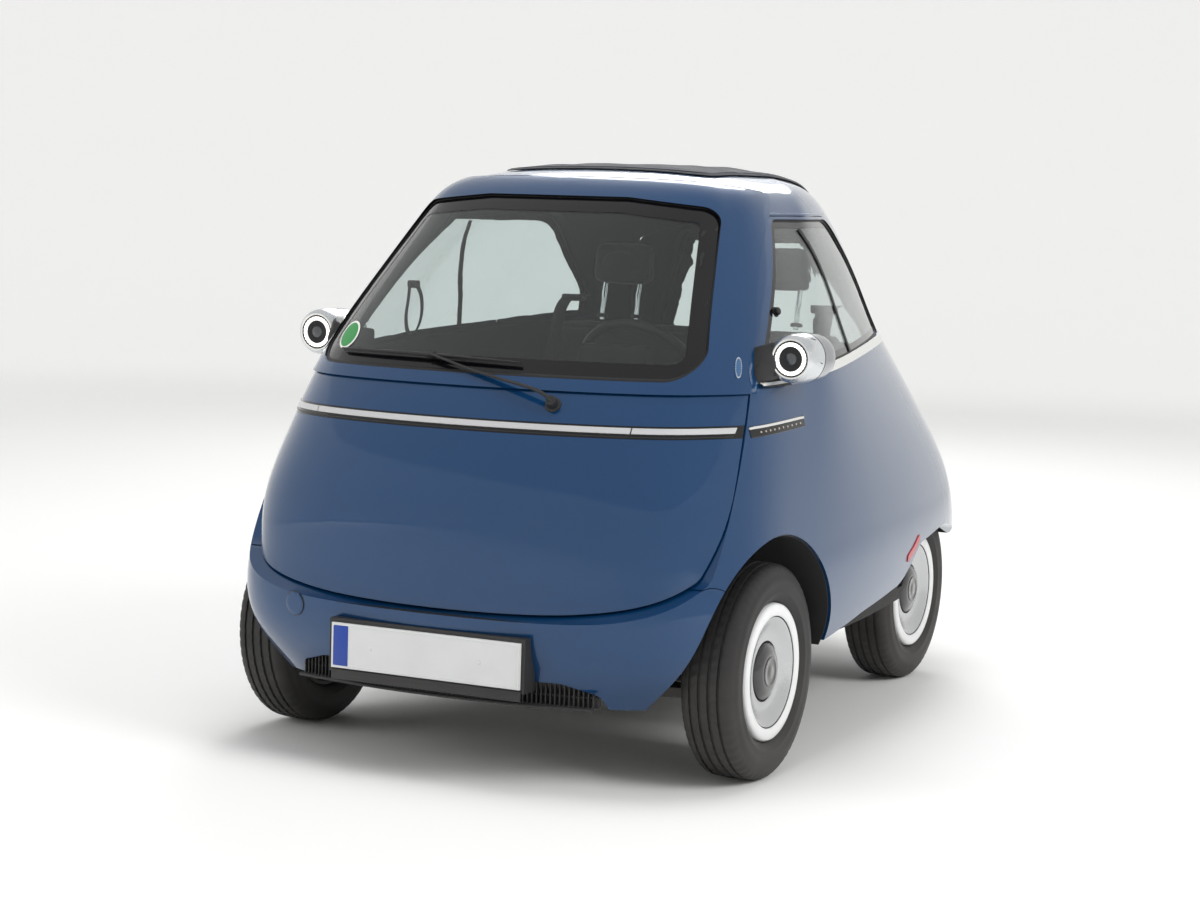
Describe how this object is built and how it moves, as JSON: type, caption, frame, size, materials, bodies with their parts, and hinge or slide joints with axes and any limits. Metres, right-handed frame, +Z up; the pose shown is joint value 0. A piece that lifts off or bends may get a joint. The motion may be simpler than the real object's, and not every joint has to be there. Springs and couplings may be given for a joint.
{
  "type": "electric microcar",
  "caption": "Bubble-shaped two-seat microcar with a single front door, canvas roof, lamp pods on stalks and a narrow rear track.",
  "frame": {"origin": "on the ground, below the middle of the car's overall box", "axes": "+X to the car's left, +Y towards its tail, +Z up; the car faces -Y"},
  "size_m": [1.492, 2.521, 1.501],
  "materials": {
    "body_paint": "metallic gloss",
    "glass": "polished",
    "light_bar": "satin clear over silver",
    "canvas": "woven roof cloth",
    "tyre": "matt",
    "wheel_cover": "silver satin",
    "hub_cap": "gloss black",
    "running_gear": "black paint",
    "motor": "cast",
    "underbody": "matt black",
    "housing_plastic": "fine grain",
    "seat_fabric": "woven",
    "lamp_chrome": "bright",
    "plate": "blank white"
  },
  "bodies": {
    "shell": {"canvas_roof": "canvas", "door_pin": "running_gear", "drive_motor": "motor", "floor_pan": "underbody", "front_bumper": "body_paint", "front_subframe": "running_gear", "headrests": "seat_fabric", "lamp_feet": "housing_plastic", "lamps": "lamp_chrome", "lower_grille": "housing_plastic", "pedals": "housing_plastic", "plate_holders": "housing_plastic", "plates": "plate", "rear_axle": "running_gear", "rear_bumper": "body_paint", "rear_dampers": "running_gear", "roof_panel": "body_paint", "seat_back": "seat_fabric", "seat_base": "underbody", "seat_cushion": "seat_fabric", "side_panel_left": "body_paint", "side_panel_right": "body_paint", "side_windows": "glass", "steering_column": "housing_plastic", "tailgate_hinge": "running_gear", "wheel_housing_left": "housing_plastic", "wheel_housing_right": "housing_plastic"},
    "door": {"front_door": "body_paint", "windscreen": "glass", "windscreen_frame": "body_paint", "light_bar": "light_bar", "door_trim": "housing_plastic"},
    "tailgate": {"tailgate": "body_paint", "rear_window": "glass", "rear_light_bar": "light_bar"},
    "knuckle_left": {"knuckle_left": "running_gear"},
    "knuckle_right": {"knuckle_right": "running_gear"},
    "wheel_front_left": {"tyre_front_left": "tyre", "rim_front_left": "wheel_cover", "hub_cap_front_left": "hub_cap"},
    "wheel_front_right": {"tyre_front_right": "tyre", "rim_front_right": "wheel_cover", "hub_cap_front_right": "hub_cap"},
    "wheel_rear_left": {"tyre_rear_left": "tyre", "rim_rear_left": "wheel_cover", "hub_cap_rear_left": "hub_cap"},
    "wheel_rear_right": {"tyre_rear_right": "tyre", "rim_rear_right": "wheel_cover", "hub_cap_rear_right": "hub_cap"},
    "rack": {"steering_rack": "running_gear"},
    "steering_wheel": {"steering_wheel": "housing_plastic"}
  },
  "joints": [
    {"name": "door_hinge", "type": "hinge", "parent": "shell", "child": "door", "pos_m": [0.638, -0.862, 0.82], "axis": [-0.1392, 0, 0.9903], "range_deg": [0, 62]},
    {"name": "tailgate_hinge", "type": "hinge", "parent": "shell", "child": "tailgate", "pos_m": [0, 0.535, 1.399], "axis": [1, 0, 0], "range_deg": [0, 70]},
    {"name": "left_steer", "type": "hinge", "parent": "shell", "child": "knuckle_left", "pos_m": [0.59, -0.7675, 0.195], "axis": [-0.2831, 0, 0.9591], "range_deg": [-26, 26]},
    {"name": "right_steer", "type": "hinge", "parent": "shell", "child": "knuckle_right", "pos_m": [-0.59, -0.7675, 0.195], "axis": [0.2831, 0, 0.9591], "range_deg": [-26, 26]},
    {"name": "rack_slide", "type": "slide", "parent": "shell", "child": "rack", "axis": [1, 0, 0], "range_m": [-0.058, 0.058]},
    {"name": "steering_wheel_turn", "type": "hinge", "parent": "shell", "child": "steering_wheel", "pos_m": [0.15, -0.42, 0.935], "axis": [0, 0.866, 0.5], "range_deg": [-364, 364]},
    {"name": "front_left_spin", "type": "hinge", "parent": "knuckle_left", "child": "wheel_front_left", "pos_m": [0.631, -0.7675, 0.267], "axis": [1, 0, 0], "continuous": true},
    {"name": "front_right_spin", "type": "hinge", "parent": "knuckle_right", "child": "wheel_front_right", "pos_m": [-0.631, -0.7675, 0.267], "axis": [1, 0, 0], "continuous": true},
    {"name": "rear_left_spin", "type": "hinge", "parent": "shell", "child": "wheel_rear_left", "pos_m": [0.445, 0.7625, 0.267], "axis": [1, 0, 0], "continuous": true},
    {"name": "rear_right_spin", "type": "hinge", "parent": "shell", "child": "wheel_rear_right", "pos_m": [-0.445, 0.7625, 0.267], "axis": [1, 0, 0], "continuous": true}
  ],
  "couplings": [
    {"joint": "right_steer", "follows": "left_steer", "ratio": 1},
    {"joint": "rack_slide", "follows": "left_steer", "m_per_rad": -0.1224},
    {"joint": "steering_wheel_turn", "follows": "left_steer", "ratio": 14}
  ]
}
